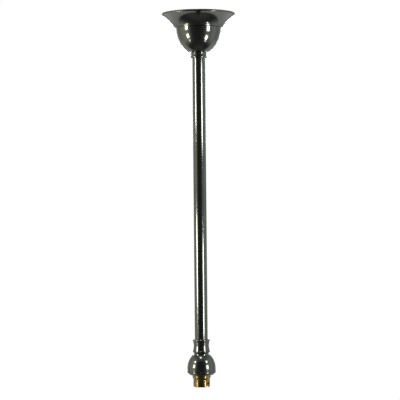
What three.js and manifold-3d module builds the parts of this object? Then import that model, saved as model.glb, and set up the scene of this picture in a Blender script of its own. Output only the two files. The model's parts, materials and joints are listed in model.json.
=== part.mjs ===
// Rod pendant suspension: a bell-shaped ceiling cup on a 3/4 inch tube, with a bayonet lampholder
// under a domed cover. Millimetres, +Z up. The origin is on the axis, in the plane of the ceiling,
// so everything hangs at z <= 0. The front is -Y.
import * as THREE from "three";
import { mergeVertices } from "three/addons/utils/BufferGeometryUtils.js";
import Module from "manifold-3d";

const wasm = await Module();
wasm.setup();

// Driving dimensions, mm
const GAP = 0.3; // between neighbouring pieces
const TUBE_R = 9.525; // 3/4 inch tube
const TUBE_BORE_R = 8.5;
const TUBE_TOP_Z = -36;
const TUBE_END_Z = -489.5;
const NIPPLE_R = 6.5; // M13 hollow threaded rod
const NIPPLE_BORE_R = 4.6;
const THREAD_R = NIPPLE_R + GAP; // bore of what screws on the rod
const NUT_FLATS = 17;
const NUT_HEIGHT = 4;
const SEGMENTS = 32; // round the large shells
const SMALL_SEGMENTS = 20;

const CUP = { rimR: 54.3, beadR: 1.2, throatR: 34.4, throatZ: -21.6, bowlR: 33.5, bowlDepth: 39, wall: 0.8 };
const CUP_BOTTOM_Z = -57;
const CUP_BORE_R = 10.3;
const SLIP = { r: 11.5, beadR: 12, boreR: 9.9, topZ: -57.3, bottomZ: -66 };
const SET_SCREW_R = 1.5;
const SET_SCREW_Z = -61;
const COLLAR = { topZ: -481.8, seatZ: -490, bottomZ: -504.8 };
const DOME = { r: 20.85, height: 25.6, equatorZ: -526, topZ: -505, lipR: 21.06, bottomZ: -531.6, wall: 0.8 };
const RING = { topZ: -530.2, roundZ: -531.4, roundR: 3.2, flatR: 16, boreR: 13.75, plugR: 19.2 };
const BARREL = { r: 12.25, bandR: 13.4, boreR: 11.5, topZ: -527.3, taperZ: -538.3, bottomZ: -552 };
const CAP = { neckR: 8.6, neckTopZ: -510.5, neckEndZ: -515, skirtR: 14.5, skirtTopZ: -519 };
const CAP_END_Z = -529.8;
const CAP_WALL = 0.8;
const HOLDER_BORE_R = CAP.skirtR - CAP_WALL;
const CORE = { topZ: -524.5, flangeR: 12.9, flangeEndZ: -527, r: 11.2, bottomZ: -538.5, stepZ: -536 };
const SLOT = { azimuth: -35.6, width: 2.8, reach: 4.9, top: 7, floor: 4.6, hookBottom: 3.2, entryU: -2.6 };

const STRAP = { thick: 2, width: 22, footEnd: 47, legX: 24, plateZ: -15 };
const FOOT_SLOT = { x: 36, length: 12, width: 5 };
const LUG = { halfX: 16, endY: 27 };
const BLOCK = { halfX: 15, nearY: 12.5, farY: 25.5, topZ: -15.3, bottomZ: -27.3, pitch: 10, wayZ: -21.3 };
const BLOCK_SCREW = { x: 5, y: 19, shankR: 1.4, headR: 2.6 };
const INSERT = { r: 2.3, boreR: 1.3 };
const CLAMP = { r: 1.3, y: [15.8, 22.2], tipZ: -22.7 };
const EARTH_SCREW = { x: 15.5, y: -5.5, shankR: 1.7, headR: 3.4 };

const CONTACT_AZIMUTH = 70; // the two contacts lie on this line through the axis
const CONTACT_RADIUS = 5.5;
const PLUNGER = { r: 1.75, tipZ: -543.2, flangeR: 2.6, flangeZ: -535.7, flangeHeight: 1.5 };
const SPRING = { coilR: 2.1, wireR: 0.28, bottomZ: -533.6, topZ: -527.1, turns: 4.5 };
const POST = { plugR: 2.7, plugEndZ: -526.5, headR: 3.3, topZ: -518.6, wireR: 1.3 };
const POST_SCREW = { z: -521.4, r: 1.1, headR: 1.8 };
const HOLDER_EARTH = { azimuth: -20, z: -521.6, shankR: 1.3, headR: 2.2 };
const WIRE_R = 1;

// Finishes
const steel = (colour, roughness) =>
  new THREE.MeshStandardMaterial({ color: colour, roughness, metalness: 1 });
const plain = (colour, roughness) =>
  new THREE.MeshStandardMaterial({ color: colour, roughness, metalness: 0 });
const darkNickel = steel(0x4a4b4a, 0.12);
const brass = steel(0xb08d4a, 0.25);
const zinc = steel(0xa9adb0, 0.4);
const springSteel = steel(0x8d9194, 0.3);
const porcelain = plain(0xe9e4d8, 0.3);
const polyamide = plain(0xe2e2dc, 0.5);
const brownSleeve = plain(0x5a3420, 0.5);
const blueSleeve = plain(0x2f63a8, 0.5);
const earthSleeve = plain(0x6f9a2e, 0.5);

const suspension = new THREE.Group();

function add(name, geometry, material) {
  const mesh = new THREE.Mesh(geometry, material);
  mesh.name = name;
  suspension.add(mesh);
}

// --- outlines, as lists of Vector2 (radius, z) ---

const at = (r, z) => new THREE.Vector2(r, z);
const radians = THREE.MathUtils.degToRad;
const polar = (r, degrees) => at(r * Math.cos(radians(degrees)), r * Math.sin(radians(degrees)));

// An elliptical stretch; 0 degrees points away from the axis and 90 degrees up.
function ellipse(centreR, centreZ, a, b, from, to, steps) {
  return Array.from({ length: steps + 1 }, (_, i) => {
    const unit = polar(1, from + ((to - from) * i) / steps);
    return at(centreR + a * unit.x, centreZ + b * unit.y);
  });
}

const arc = (r, z, radius, from, to, steps) => ellipse(r, z, radius, radius, from, to, steps);

// The same outline moved inwards by the wall, each point along the mean normal of its two edges.
function inset(points, wall) {
  return points.map((p, i) => {
    const before = points[Math.max(i - 1, 0)];
    const after = points[Math.min(i + 1, points.length - 1)];
    const along = after.clone().sub(before).normalize();
    return at(p.x + wall * along.y, p.y - wall * along.x);
  });
}

// --- solids ---

// Turns a closed outline, which stays clear of the axis, into a ring or a shell.
function turned(points, segments = SEGMENTS) {
  const outline = points.map((p) => p.clone());
  if (THREE.ShapeUtils.area(outline) < 0) outline.reverse();
  outline.push(outline[0].clone());
  return new THREE.LatheGeometry(outline, segments).rotateX(Math.PI / 2);
}

const tubeSolid = (innerR, outerR, z0, z1, segments = SMALL_SEGMENTS) =>
  turned([at(innerR, z0), at(outerR, z0), at(outerR, z1), at(innerR, z1)], segments);

// A turned piece with no bore. Its outline runs from the axis to the axis, bottom end first.
const solidTurned = (outline, segments = SMALL_SEGMENTS) =>
  new THREE.LatheGeometry(outline, segments).rotateX(Math.PI / 2);

// A plain round bar on the axis.
const bar = (r, z0, z1, segments = SMALL_SEGMENTS) =>
  solidTurned([at(0, z0), at(r, z0), at(r, z1), at(0, z1)], segments);

const extruded = (shape, depth) =>
  new THREE.ExtrudeGeometry(shape, { depth, bevelEnabled: false, curveSegments: 10 });

function circleHole(r) {
  const hole = new THREE.Path();
  hole.absarc(0, 0, r, 0, 2 * Math.PI, true);
  return hole;
}

// --- joining and cutting ---

function toManifold(geometry) {
  const bare = geometry.clone();
  bare.deleteAttribute("normal");
  bare.deleteAttribute("uv");
  const merged = mergeVertices(bare, 1e-4);
  return new wasm.Manifold(
    new wasm.Mesh({
      numProp: 3,
      vertProperties: merged.attributes.position.array,
      triVerts: new Uint32Array(merged.index.array),
    }),
  );
}

function toGeometry(manifold) {
  const mesh = manifold.getMesh();
  const geometry = new THREE.BufferGeometry();
  const positions = new Float32Array(mesh.numVert * 3);
  for (let i = 0; i < mesh.numVert; i++) {
    positions.set(mesh.vertProperties.subarray(i * mesh.numProp, i * mesh.numProp + 3), i * 3);
  }
  geometry.setAttribute("position", new THREE.BufferAttribute(positions, 3));
  geometry.setIndex(new THREE.BufferAttribute(mesh.triVerts, 1));
  return geometry;
}

const cut = (base, ...tools) =>
  toGeometry(tools.reduce((solid, tool) => solid.subtract(toManifold(tool)), toManifold(base)));

const join = (...parts) =>
  toGeometry(parts.slice(1).reduce((solid, part) => solid.add(toManifold(part)), toManifold(parts[0])));

// Places a geometry made along +Z so that +Z points outwards at an azimuth, its X along the tangent
// and its Y up. The origin stays on the axis, at height z.
function radial(geometry, azimuth, z) {
  const a = radians(azimuth);
  const outwards = new THREE.Vector3(Math.cos(a), Math.sin(a), 0);
  const tangent = new THREE.Vector3(-Math.sin(a), Math.cos(a), 0);
  const up = new THREE.Vector3(0, 0, 1);
  return geometry.applyMatrix4(new THREE.Matrix4().makeBasis(tangent, up, outwards)).translate(0, 0, z);
}

// --- ceiling end ---

function ceilingCup() {
  const { rimR, beadR, throatR, throatZ, bowlR, bowlDepth, wall } = CUP;
  const beadCentreR = rimR - beadR;
  const rolledRim = arc(beadCentreR, -beadR, beadR, 200, -50, 5);
  const flare = new THREE.QuadraticBezierCurve(
    at(rimR - 0.9, -3.1),
    at(40.4, -11),
    at(throatR, throatZ),
  ).getPoints(6);
  const bowlTopZ = -22;
  const bowl = ellipse(0, bowlTopZ, bowlR, bowlDepth, -2, -63.5, 7);
  const outer = [...flare, ...bowl, at(CUP_BORE_R + 0.8, CUP_BOTTOM_Z), at(CUP_BORE_R, CUP_BOTTOM_Z)];
  const inner = inset(outer, wall).slice(2);
  return turned([...rolledRim, ...outer, ...inner.reverse()]);
}

function slipCollar() {
  const { r, beadR, boreR, topZ, bottomZ } = SLIP;
  const body = turned(
    [
      at(boreR, topZ),
      at(r - 0.3, topZ),
      at(r, topZ - 0.4),
      at(r - 0.3, topZ - 3),
      at(r, bottomZ + 2.6),
      at(beadR, bottomZ + 1.7),
      at(beadR, bottomZ + 0.8),
      at(r - 0.1, bottomZ),
      at(boreR, bottomZ),
    ],
    24,
  );
  const screwHole = radial(bar(SET_SCREW_R + GAP, 8, 14, 12), 90, SET_SCREW_Z);
  return cut(body, screwHole);
}

function collarSetScrew() {
  const blank = bar(SET_SCREW_R, TUBE_R + 0.15, SLIP.r + 0.1, 16);
  const driver = new THREE.BoxGeometry(0.5, 4, 1).translate(0, 0, SLIP.r + 0.1);
  return radial(cut(blank, driver), 90, SET_SCREW_Z);
}

// Top-hat strap: two feet against the ceiling, a lowered plate between them, and a lug at the back.
function ceilingBracket() {
  const { thick, width, footEnd, legX, plateZ } = STRAP;
  const bend = 1.2;
  const half = [
    [footEnd, 0],
    [footEnd, -thick],
    [legX + bend, -thick],
    [legX, -thick - bend],
    [legX, plateZ + bend],
    [legX - bend, plateZ],
  ];
  const upper = [
    [legX - thick - bend / 2, plateZ + thick],
    [legX - thick, plateZ + thick + bend / 2],
    [legX - thick, -bend],
    [legX - thick + bend, 0],
  ];
  const mirrored = (points) => points.map(([x, z]) => [-x, z]).reverse();
  const outline = [...half, ...mirrored(half), ...mirrored(upper), ...upper];
  const profile = new THREE.Shape(outline.map(([x, z]) => at(x, z)));
  const strap = extruded(profile, width).rotateX(Math.PI / 2).translate(0, width / 2, 0);
  const lug = new THREE.BoxGeometry(2 * LUG.halfX, LUG.endY - width / 2 + 1, thick).translate(
    0,
    (LUG.endY + width / 2 - 1) / 2,
    plateZ + thick / 2,
  );
  const footSlot = (side) => {
    const reach = (FOOT_SLOT.length - FOOT_SLOT.width) / 2;
    const shape = new THREE.Shape();
    shape.absarc(-reach, 0, FOOT_SLOT.width / 2, Math.PI / 2, 1.5 * Math.PI, false);
    shape.absarc(reach, 0, FOOT_SLOT.width / 2, -Math.PI / 2, Math.PI / 2, false);
    return extruded(shape, 10).translate(side * FOOT_SLOT.x, 0, -5);
  };
  return cut(
    join(strap, lug),
    bar(THREAD_R, plateZ - 1, plateZ + thick + 1),
    footSlot(1),
    footSlot(-1),
    bar(BLOCK_SCREW.shankR + GAP, plateZ - 1, -1, 12).translate(BLOCK_SCREW.x, BLOCK_SCREW.y, 0),
    bar(EARTH_SCREW.shankR + GAP, plateZ - 1, -1, 12).translate(EARTH_SCREW.x, EARTH_SCREW.y, 0),
  );
}

function hexNut(topZ) {
  const corner = NUT_FLATS / 2 / Math.cos(Math.PI / 6);
  const shape = new THREE.Shape(
    Array.from({ length: 6 }, (_, i) => polar(corner, i * 60)),
  );
  shape.holes.push(circleHole(THREAD_R));
  return extruded(shape, NUT_HEIGHT).translate(0, 0, topZ - NUT_HEIGHT);
}

// Washer with teeth round its outer edge.
function starWasher(topZ) {
  const teeth = 12;
  const points = Array.from({ length: 2 * teeth }, (_, i) => {
    return polar(i % 2 ? 9.8 : 8.7, (i * 180) / teeth);
  });
  const shape = new THREE.Shape(points);
  shape.holes.push(circleHole(THREAD_R));
  return extruded(shape, 0.6).translate(0, 0, topZ - 0.6);
}

// Bush in the top of the tube, with a flange that covers the tube's end.
const tubeTopBush = () =>
  turned(
    [
      at(THREAD_R, TUBE_TOP_Z + 2),
      at(TUBE_R, TUBE_TOP_Z + 2),
      at(TUBE_R, TUBE_TOP_Z + GAP),
      at(TUBE_BORE_R - GAP, TUBE_TOP_Z + GAP),
      at(TUBE_BORE_R - GAP, TUBE_TOP_Z - 10),
      at(THREAD_R, TUBE_TOP_Z - 10),
    ],
    24,
  );

const wayX = (way) => (way - 1) * BLOCK.pitch;

// Runs a bar along +Y through one way of the terminal block.
const alongWay = (geometry, way) => geometry.rotateX(-Math.PI / 2).translate(wayX(way), 0, BLOCK.wayZ);

// Three-way terminal block, notched between the ways, with a bore and two screw wells in each way.
function terminalBlock() {
  const { halfX, nearY, farY, topZ, bottomZ, pitch } = BLOCK;
  const notch = 0.9;
  const outline = [at(-halfX, topZ), at(-halfX, bottomZ + 1)];
  outline.push(at(-halfX + 1, bottomZ));
  for (const x of [-pitch / 2, pitch / 2]) {
    outline.push(at(x - notch, bottomZ), at(x - notch, bottomZ + 2.5), at(x + notch, bottomZ + 2.5));
    outline.push(at(x + notch, bottomZ));
  }
  outline.push(at(halfX - 1, bottomZ), at(halfX, bottomZ + 1), at(halfX, topZ));
  const body = extruded(new THREE.Shape(outline), farY - nearY).rotateX(Math.PI / 2).translate(0, farY, 0);
  const screwHole = bar(BLOCK_SCREW.shankR + GAP, bottomZ - 1, topZ + 1, 12);
  const headWell = bar(3, bottomZ - 1, bottomZ + 4.6, 16);
  const tools = [screwHole, headWell].map((t) => t.translate(BLOCK_SCREW.x, BLOCK_SCREW.y, 0));
  for (const way of [0, 1, 2]) {
    tools.push(alongWay(bar(INSERT.r + GAP, nearY - 1, farY + 1, 16), way));
    for (const y of CLAMP.y) {
      tools.push(bar(CLAMP.r + GAP, bottomZ - 1, BLOCK.wayZ, 12).translate(wayX(way), y, 0));
    }
  }
  return cut(body, ...tools);
}

// Brass tube in a way, drilled from below for its two clamp screws.
function wayInsert(way) {
  const sleeve = alongWay(tubeSolid(INSERT.boreR, INSERT.r, BLOCK.nearY + 1, BLOCK.farY - 1, 16), way);
  const holes = CLAMP.y.map((y) =>
    bar(CLAMP.r + GAP, BLOCK.bottomZ, BLOCK.wayZ, 12).translate(wayX(way), y, 0),
  );
  return cut(sleeve, ...holes);
}

function clampScrew(way, row) {
  const endZ = BLOCK.bottomZ + 0.6;
  const driver = new THREE.BoxGeometry(4, 0.5, 1.2).translate(0, 0, endZ);
  return cut(bar(CLAMP.r, endZ, CLAMP.tipZ, 12), driver).translate(wayX(way), CLAMP.y[row], 0);
}

// A pan-head screw along Z: the head's face is at headZ and the shank ends at tipZ.
function panScrew(shankR, headR, headZ, headHeight, tipZ) {
  const towards = Math.sign(tipZ - headZ);
  const under = headZ + towards * headHeight;
  const outline = [
    at(0, headZ),
    at(headR * 0.8, headZ),
    at(headR, headZ + towards * headHeight * 0.5),
    at(headR, under),
    at(shankR, under),
    at(shankR, tipZ),
    at(0, tipZ),
  ];
  if (towards < 0) outline.reverse();
  const driver = new THREE.BoxGeometry(2 * headR + 2, 0.6, headHeight * 0.9).translate(0, 0, headZ);
  return cut(solidTurned(outline, 16), driver);
}

const plateTopZ = STRAP.plateZ + STRAP.thick;

function blockScrew() {
  const { x, y, shankR, headR } = BLOCK_SCREW;
  return panScrew(shankR, headR, BLOCK.bottomZ + 2.2, 1.9, plateTopZ + 1.5).translate(x, y, 0);
}

function bracketEarthScrew() {
  const { x, y, shankR, headR } = EARTH_SCREW;
  return panScrew(shankR, headR, STRAP.plateZ - 3.3, 2.2, plateTopZ + 2).translate(x, y, 0);
}

const earthWasher = () =>
  tubeSolid(EARTH_SCREW.shankR + GAP, 4.2, STRAP.plateZ - 1, STRAP.plateZ - 0.2, 20).translate(
    EARTH_SCREW.x,
    EARTH_SCREW.y,
    0,
  );

// --- lower end ---

// Turned collar: a bead, a waist that swells into a second bead, and a groove over the cover.
function lowerCollar() {
  const { topZ, seatZ, bottomZ } = COLLAR;
  const topBead = arc(11, -483.5, 1.65, 75, -45, 4);
  const waist = new THREE.SplineCurve([
    at(11.85, -486),
    at(11.5, -488.6),
    at(11.15, -491.6),
    at(11.5, -494.4),
    at(11.95, -497.4),
  ]).getPoints(7);
  const lowBead = arc(11.3, -500, 1.45, 50, -60, 4);
  return turned(
    [
      at(TUBE_R + GAP, topZ),
      ...topBead,
      ...waist,
      ...lowBead,
      at(10.5, -502.6),
      at(10.9, bottomZ),
      at(THREAD_R, bottomZ),
      at(THREAD_R, seatZ),
      at(TUBE_R + GAP, seatZ),
    ],
    24,
  );
}

const tubeBottomBush = () =>
  tubeSolid(THREAD_R, TUBE_BORE_R - GAP, TUBE_END_Z, TUBE_END_Z + 10.5, 24);

// Spun cover: a flat crown with a bore, a quarter of an ellipse, a short straight side and a lip.
function domeCover() {
  const { r, height, equatorZ, topZ, lipR, bottomZ, wall } = DOME;
  const startAngle = THREE.MathUtils.radToDeg(Math.asin((topZ - equatorZ) / height));
  const quarter = ellipse(0, equatorZ, r, height, startAngle, 0, 7);
  const outer = [at(THREAD_R, topZ), ...quarter, at(r, bottomZ + 2.6)];
  const lip = [at(lipR, bottomZ + 1.9), at(lipR, bottomZ + 0.7), at(lipR - 0.5, bottomZ)];
  return turned([...outer, ...lip, at(r - wall, bottomZ), ...inset(outer, wall).reverse()]);
}

// Ring that closes the cover's mouth: a plug inside the lip and a quarter round below it.
const closingRing = () =>
  turned(
    [
      at(RING.boreR, RING.topZ),
      at(RING.plugR, RING.topZ),
      ...arc(RING.flatR, RING.roundZ, RING.roundR, 0, -90, 4),
      at(RING.boreR, RING.roundZ - RING.roundR),
    ],
    32,
  );

// J-shaped cut of a bayonet slot, drawn with u along the wall and v up from the barrel's end.
function bayonetSlot() {
  const { width, reach, top, floor, hookBottom, entryU } = SLOT;
  const half = width / 2;
  const hookR = (top - floor) / 2 + 0.1;
  const hookU = entryU + reach;
  const shape = new THREE.Shape();
  shape.moveTo(entryU + half, -2);
  shape.lineTo(entryU + half, floor);
  shape.lineTo(hookU - hookR, floor);
  shape.absarc(hookU, hookBottom + hookR, hookR, Math.PI, 2 * Math.PI, false);
  shape.absarc(hookU, top - hookR, hookR, 0, Math.PI / 2, false);
  shape.absarc(entryU, top - half, half, Math.PI / 2, Math.PI, false);
  shape.lineTo(entryU - half, -2);
  const options = { depth: 10, bevelEnabled: false, curveSegments: 5 };
  return new THREE.ExtrudeGeometry(shape, options).translate(0, 0, 7);
}

function holderBarrel() {
  const { r, bandR, boreR, topZ, taperZ, bottomZ } = BARREL;
  const shell = turned(
    [
      at(boreR, topZ),
      at(bandR, topZ),
      at(bandR, taperZ),
      at(bandR - 0.3, taperZ - 0.7),
      at(bandR - 0.9, taperZ - 1.9),
      at(r - 0.25, taperZ - 2.9),
      at(r, taperZ - 3.6),
      at(r, bottomZ + 0.6),
      at(r - 0.2, bottomZ),
      at(boreR, bottomZ),
    ],
    32,
  );
  const slots = [SLOT.azimuth, SLOT.azimuth + 180].map((a) => radial(bayonetSlot(), a, bottomZ));
  return cut(shell, ...slots);
}

function holderCap() {
  const { neckR, neckTopZ, neckEndZ, skirtR, skirtTopZ } = CAP;
  const rise = neckEndZ - skirtTopZ;
  const shoulder = ellipse(neckR, skirtTopZ, skirtR - neckR, rise, 90, 0, 4);
  const underside = ellipse(THREAD_R, skirtTopZ - CAP_WALL, skirtR - CAP_WALL - THREAD_R, rise, 0, 90, 4);
  const shell = turned(
    [
      at(THREAD_R, neckTopZ),
      at(neckR, neckTopZ),
      at(neckR, neckEndZ + 0.5),
      ...shoulder,
      at(skirtR, CAP_END_Z),
      at(skirtR - CAP_WALL, CAP_END_Z),
      ...underside,
    ],
    28,
  );
  const { azimuth, z, shankR } = HOLDER_EARTH;
  return cut(shell, radial(bar(shankR + GAP, 10, 18, 12), azimuth, z));
}

const contactPoint = (index) => {
  const a = radians(CONTACT_AZIMUTH + 180 * index);
  return [CONTACT_RADIUS * Math.cos(a), CONTACT_RADIUS * Math.sin(a)];
};

// Porcelain core: a flange on the barrel's end and a stepped bore for each plunger.
function insulatorCore() {
  const body = solidTurned(
    [
      at(0, CORE.bottomZ),
      at(CORE.r - 0.6, CORE.bottomZ),
      at(CORE.r, CORE.bottomZ + 0.6),
      at(CORE.r, CORE.flangeEndZ),
      at(CORE.flangeR, CORE.flangeEndZ),
      at(CORE.flangeR, CORE.topZ),
      at(0, CORE.topZ),
    ],
    32,
  );
  const bores = [0, 1].flatMap((i) => {
    const [x, y] = contactPoint(i);
    return [
      bar(POST.plugR + GAP, CORE.stepZ, CORE.topZ + 1, 16).translate(x, y, 0),
      bar(PLUNGER.r + GAP, CORE.bottomZ - 1, CORE.stepZ + 1, 16).translate(x, y, 0),
    ];
  });
  return cut(body, ...bores);
}

function contactPlunger(index) {
  const { r, tipZ, flangeR, flangeZ, flangeHeight } = PLUNGER;
  const [x, y] = contactPoint(index);
  const nose = arc(0, tipZ + r, r, -90, 0, 4);
  const flangeTopZ = flangeZ + flangeHeight;
  const stem = [at(r, flangeZ), at(flangeR, flangeZ), at(flangeR, flangeTopZ)];
  const spigotR = 1.4;
  const spigotTopZ = flangeTopZ + 1.6;
  const spigot = [at(spigotR, flangeTopZ), at(spigotR, spigotTopZ)];
  nose[0].x = 0; // closes the nose exactly on the axis
  const outline = [...nose, ...stem, ...spigot, at(0, spigotTopZ)];
  return solidTurned(outline, 16).translate(x, y, 0);
}

class Coil extends THREE.Curve {
  getPoint(t) {
    const angle = 2 * Math.PI * SPRING.turns * t;
    const z = THREE.MathUtils.lerp(SPRING.bottomZ, SPRING.topZ, t);
    return new THREE.Vector3(SPRING.coilR * Math.cos(angle), SPRING.coilR * Math.sin(angle), z);
  }
}

function roundSection(r, sides) {
  return new THREE.Shape(Array.from({ length: sides }, (_, i) => polar(r, (360 * i) / sides)));
}

function contactSpring(index) {
  const [x, y] = contactPoint(index);
  const steps = SPRING.turns * 8;
  const options = { steps, extrudePath: new Coil(), bevelEnabled: false };
  return new THREE.ExtrudeGeometry(roundSection(SPRING.wireR, 6), options).translate(x, y, 0);
}

// Brass post: a plug in the core's bore and a head with a wire hole from above and a screw hole
// from the side.
function contactPost(index) {
  const [x, y] = contactPoint(index);
  const outline = [
    at(0, POST.plugEndZ),
    at(POST.plugR, POST.plugEndZ),
    at(POST.plugR, CORE.topZ + GAP),
    at(POST.headR, CORE.topZ + GAP),
    at(POST.headR, POST.topZ),
    at(0, POST.topZ),
  ];
  const wireHole = bar(POST.wireR, POST.topZ - 4.6, POST.topZ + 1, 12);
  const blank = cut(solidTurned(outline, 20), wireHole).translate(x, y, 0);
  const azimuth = CONTACT_AZIMUTH + 180 * index;
  const screwHole = radial(bar(POST_SCREW.r + GAP, CONTACT_RADIUS, 14, 12), azimuth, POST_SCREW.z);
  return cut(blank, screwHole);
}

function contactScrew(index) {
  const headZ = CONTACT_RADIUS + POST.headR + 1.9;
  const tipZ = CONTACT_RADIUS + WIRE_R + GAP;
  const screw = panScrew(POST_SCREW.r, POST_SCREW.headR, headZ, 1.3, tipZ);
  return radial(screw, CONTACT_AZIMUTH + 180 * index, POST_SCREW.z);
}

function holderEarthScrew() {
  const { azimuth, z, shankR, headR } = HOLDER_EARTH;
  return radial(panScrew(shankR, headR, CAP.skirtR + 1.8, 1.4, HOLDER_BORE_R - 1.7), azimuth, z);
}

function holderEarthTag() {
  const { azimuth, z, shankR } = HOLDER_EARTH;
  const ring = tubeSolid(shankR + GAP, 2.6, HOLDER_BORE_R - 1.4, HOLDER_BORE_R - 0.6, 16);
  return radial(ring, azimuth, z);
}

// --- wires ---

// A smooth route through hand-placed points. Its steps are shared evenly between the points, so the
// bends, where the points lie close, get short steps and the straight run in the tube gets long ones.
class Route extends THREE.CatmullRomCurve3 {
  getUtoTmapping(u) {
    return u;
  }
}

// Each wire's place in the tube, and its points from the lampholder up to the tube and from the top
// nipple over to its way in the terminal block.
const WIRES = [
  {
    name: "live_wire",
    material: brownSleeve,
    way: 0,
    bore: [-2.2, -0.9],
    low: [
      [-1.88, -5.17, -522],
      [-1.88, -5.17, -519.4],
      [-1.93, -4.5, -517.3],
      [-2, -2.5, -515],
      [-2.15, -1.7, -512],
      [-2.2, -1, -508],
    ],
  },
  {
    name: "neutral_wire",
    material: blueSleeve,
    way: 1,
    bore: [0, 2],
    low: [
      [1.88, 5.17, -522],
      [1.88, 5.17, -519.4],
      [1.5, 4.6, -517.3],
      [0.75, 3.1, -515],
      [0.25, 2.4, -512],
      [0, 2.05, -508],
    ],
  },
  {
    name: "earth_wire",
    material: earthSleeve,
    way: 2,
    bore: [2.2, -0.9],
    low: [
      [10.1, -3.7, -522.6],
      [9.6, -3.5, -520.8],
      [7.6, -2.8, -518.6],
      [4.9, -1.85, -517],
      [3, -1.2, -515],
      [2.45, -1, -512],
      [2.2, -0.9, -508],
    ],
  },
];

// Out of the nipple, over the bracket's lug, round its end and into the way.
function overTheLug(way, [x, y]) {
  const endX = wayX(way);
  const turnZ = (BLOCK.wayZ - 6.5) / 2;
  const turnR = (-6.5 - BLOCK.wayZ) / 2;
  const swing = (share) => x + (endX - x) * share;
  const turn = [60, 20, -20, -60].map((angle) => [
    endX,
    LUG.endY - 1 + turnR * Math.cos(radians(angle)),
    turnZ + turnR * Math.sin(radians(angle)),
  ]);
  return [
    [x, y, -30],
    [x, y, -10],
    [swing(0.04), y + 1.2, -6.6],
    [swing(0.2), y + 4.4, -5],
    [swing(0.6), 13, -5.4],
    [swing(0.95), 21, -6.2],
    ...turn,
    [endX, LUG.endY - 1.5, BLOCK.wayZ],
    [endX, BLOCK.farY - 2.5, BLOCK.wayZ],
    [endX, BLOCK.farY - 5, BLOCK.wayZ],
  ];
}

function wire({ way, bore, low }) {
  const inTube = [
    [...bore, -500],
    [...bore, -340],
    [...bore, -180],
    [...bore, -60],
  ];
  const points = [...low, ...inTube, ...overTheLug(way, bore)].map((p) => new THREE.Vector3(...p));
  const route = new Route(points, false, "centripetal");
  const options = { steps: 2 * (points.length - 1), extrudePath: route, bevelEnabled: false };
  return new THREE.ExtrudeGeometry(roundSection(WIRE_R, 8), options);
}

// --- assembly, from the ceiling down ---

add("ceiling_bracket", ceilingBracket(), zinc);
add("top_nipple", tubeSolid(NIPPLE_BORE_R, NIPPLE_R, -46, -8, 24), brass);
add("nut_above", hexNut(STRAP.plateZ + STRAP.thick + NUT_HEIGHT + GAP), brass);
add("star_washer", starWasher(STRAP.plateZ - 0.1), zinc);
add("nut_below", hexNut(STRAP.plateZ - 1), brass);
add("rod_lock_nut", hexNut(TUBE_TOP_Z + 2 + NUT_HEIGHT + 0.2), brass);
add("tube_top_bush", tubeTopBush(), brass);
add("terminal_block", terminalBlock(), polyamide);
for (const way of [0, 1, 2]) {
  add(`way_insert_${way + 1}`, wayInsert(way), brass);
  for (const row of [0, 1]) add(`clamp_screw_${way + 1}_${row + 1}`, clampScrew(way, row), zinc);
}
add("block_screw", blockScrew(), zinc);
add("bracket_earth_screw", bracketEarthScrew(), brass);
add("earth_washer", earthWasher(), brass);
add("ceiling_cup", ceilingCup(), darkNickel);
add("slip_collar", slipCollar(), darkNickel);
add("collar_set_screw", collarSetScrew(), zinc);
add("rod_tube", tubeSolid(TUBE_BORE_R, TUBE_R, TUBE_END_Z, TUBE_TOP_Z, SEGMENTS), darkNickel);
add("lower_collar", lowerCollar(), darkNickel);
add("tube_bottom_bush", tubeBottomBush(), brass);
add("lower_nipple", tubeSolid(NIPPLE_BORE_R, NIPPLE_R, -515, -480, 24), brass);
add("dome_cover", domeCover(), darkNickel);
add("cover_nut", hexNut(DOME.topZ - DOME.wall - GAP), brass);
add("holder_cap", holderCap(), brass);
add("closing_ring", closingRing(), darkNickel);
add("holder_barrel", holderBarrel(), brass);
add("insulator_core", insulatorCore(), porcelain);
for (const index of [0, 1]) {
  add(`contact_post_${index + 1}`, contactPost(index), brass);
  add(`contact_screw_${index + 1}`, contactScrew(index), zinc);
  add(`contact_spring_${index + 1}`, contactSpring(index), springSteel);
  add(`contact_plunger_${index + 1}`, contactPlunger(index), brass);
}
add("holder_earth_screw", holderEarthScrew(), zinc);
add("holder_earth_tag", holderEarthTag(), brass);
for (const spec of WIRES) add(spec.name, wire(spec), spec.material);

export default suspension;
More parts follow.
